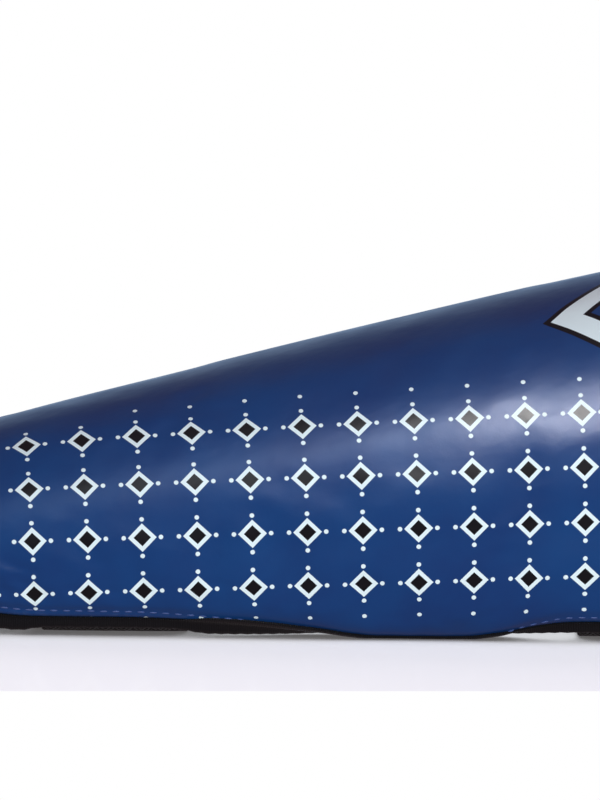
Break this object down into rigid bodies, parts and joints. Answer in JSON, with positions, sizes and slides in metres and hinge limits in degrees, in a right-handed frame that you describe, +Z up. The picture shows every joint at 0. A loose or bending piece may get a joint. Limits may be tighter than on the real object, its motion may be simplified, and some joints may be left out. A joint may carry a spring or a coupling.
{
  "type": "shin and instep guard",
  "caption": "Padded shin and instep guard for kicking sports, open behind, with two calf straps and one strap under the sole, lying on its open side with the straps fastened.",
  "frame": {"origin": "on the floor, under the middle of the whole guard as it lies with its straps fastened", "axes": "+X runs along the shin towards the knee, +Y points to the far wing, where the straps fasten, and +Z points up, to the ridge of the shin"},
  "size_m": [0.5274, 0.1451, 0.1323],
  "materials": {
    "blue_cover": "smooth semi-gloss synthetic leather with a printed white lattice on the wings",
    "black_lining": "matt knitted lining",
    "black_tape": "folded ribbed edge tape",
    "black_webbing": "woven webbing and hook-and-loop tape"
  },
  "bodies": {
    "root": {"shin_pad": "blue_cover", "shin_lining": "black_lining", "shin_binding": "black_tape", "instep_pad": "blue_cover", "instep_lining": "black_lining", "instep_binding": "black_tape", "ankle_hinge": "blue_cover", "lower_strap": "black_webbing", "upper_strap": "black_webbing", "lower_patch": "black_webbing", "upper_patch": "black_webbing", "foot_strap": "black_webbing"}
  },
  "joints": []
}
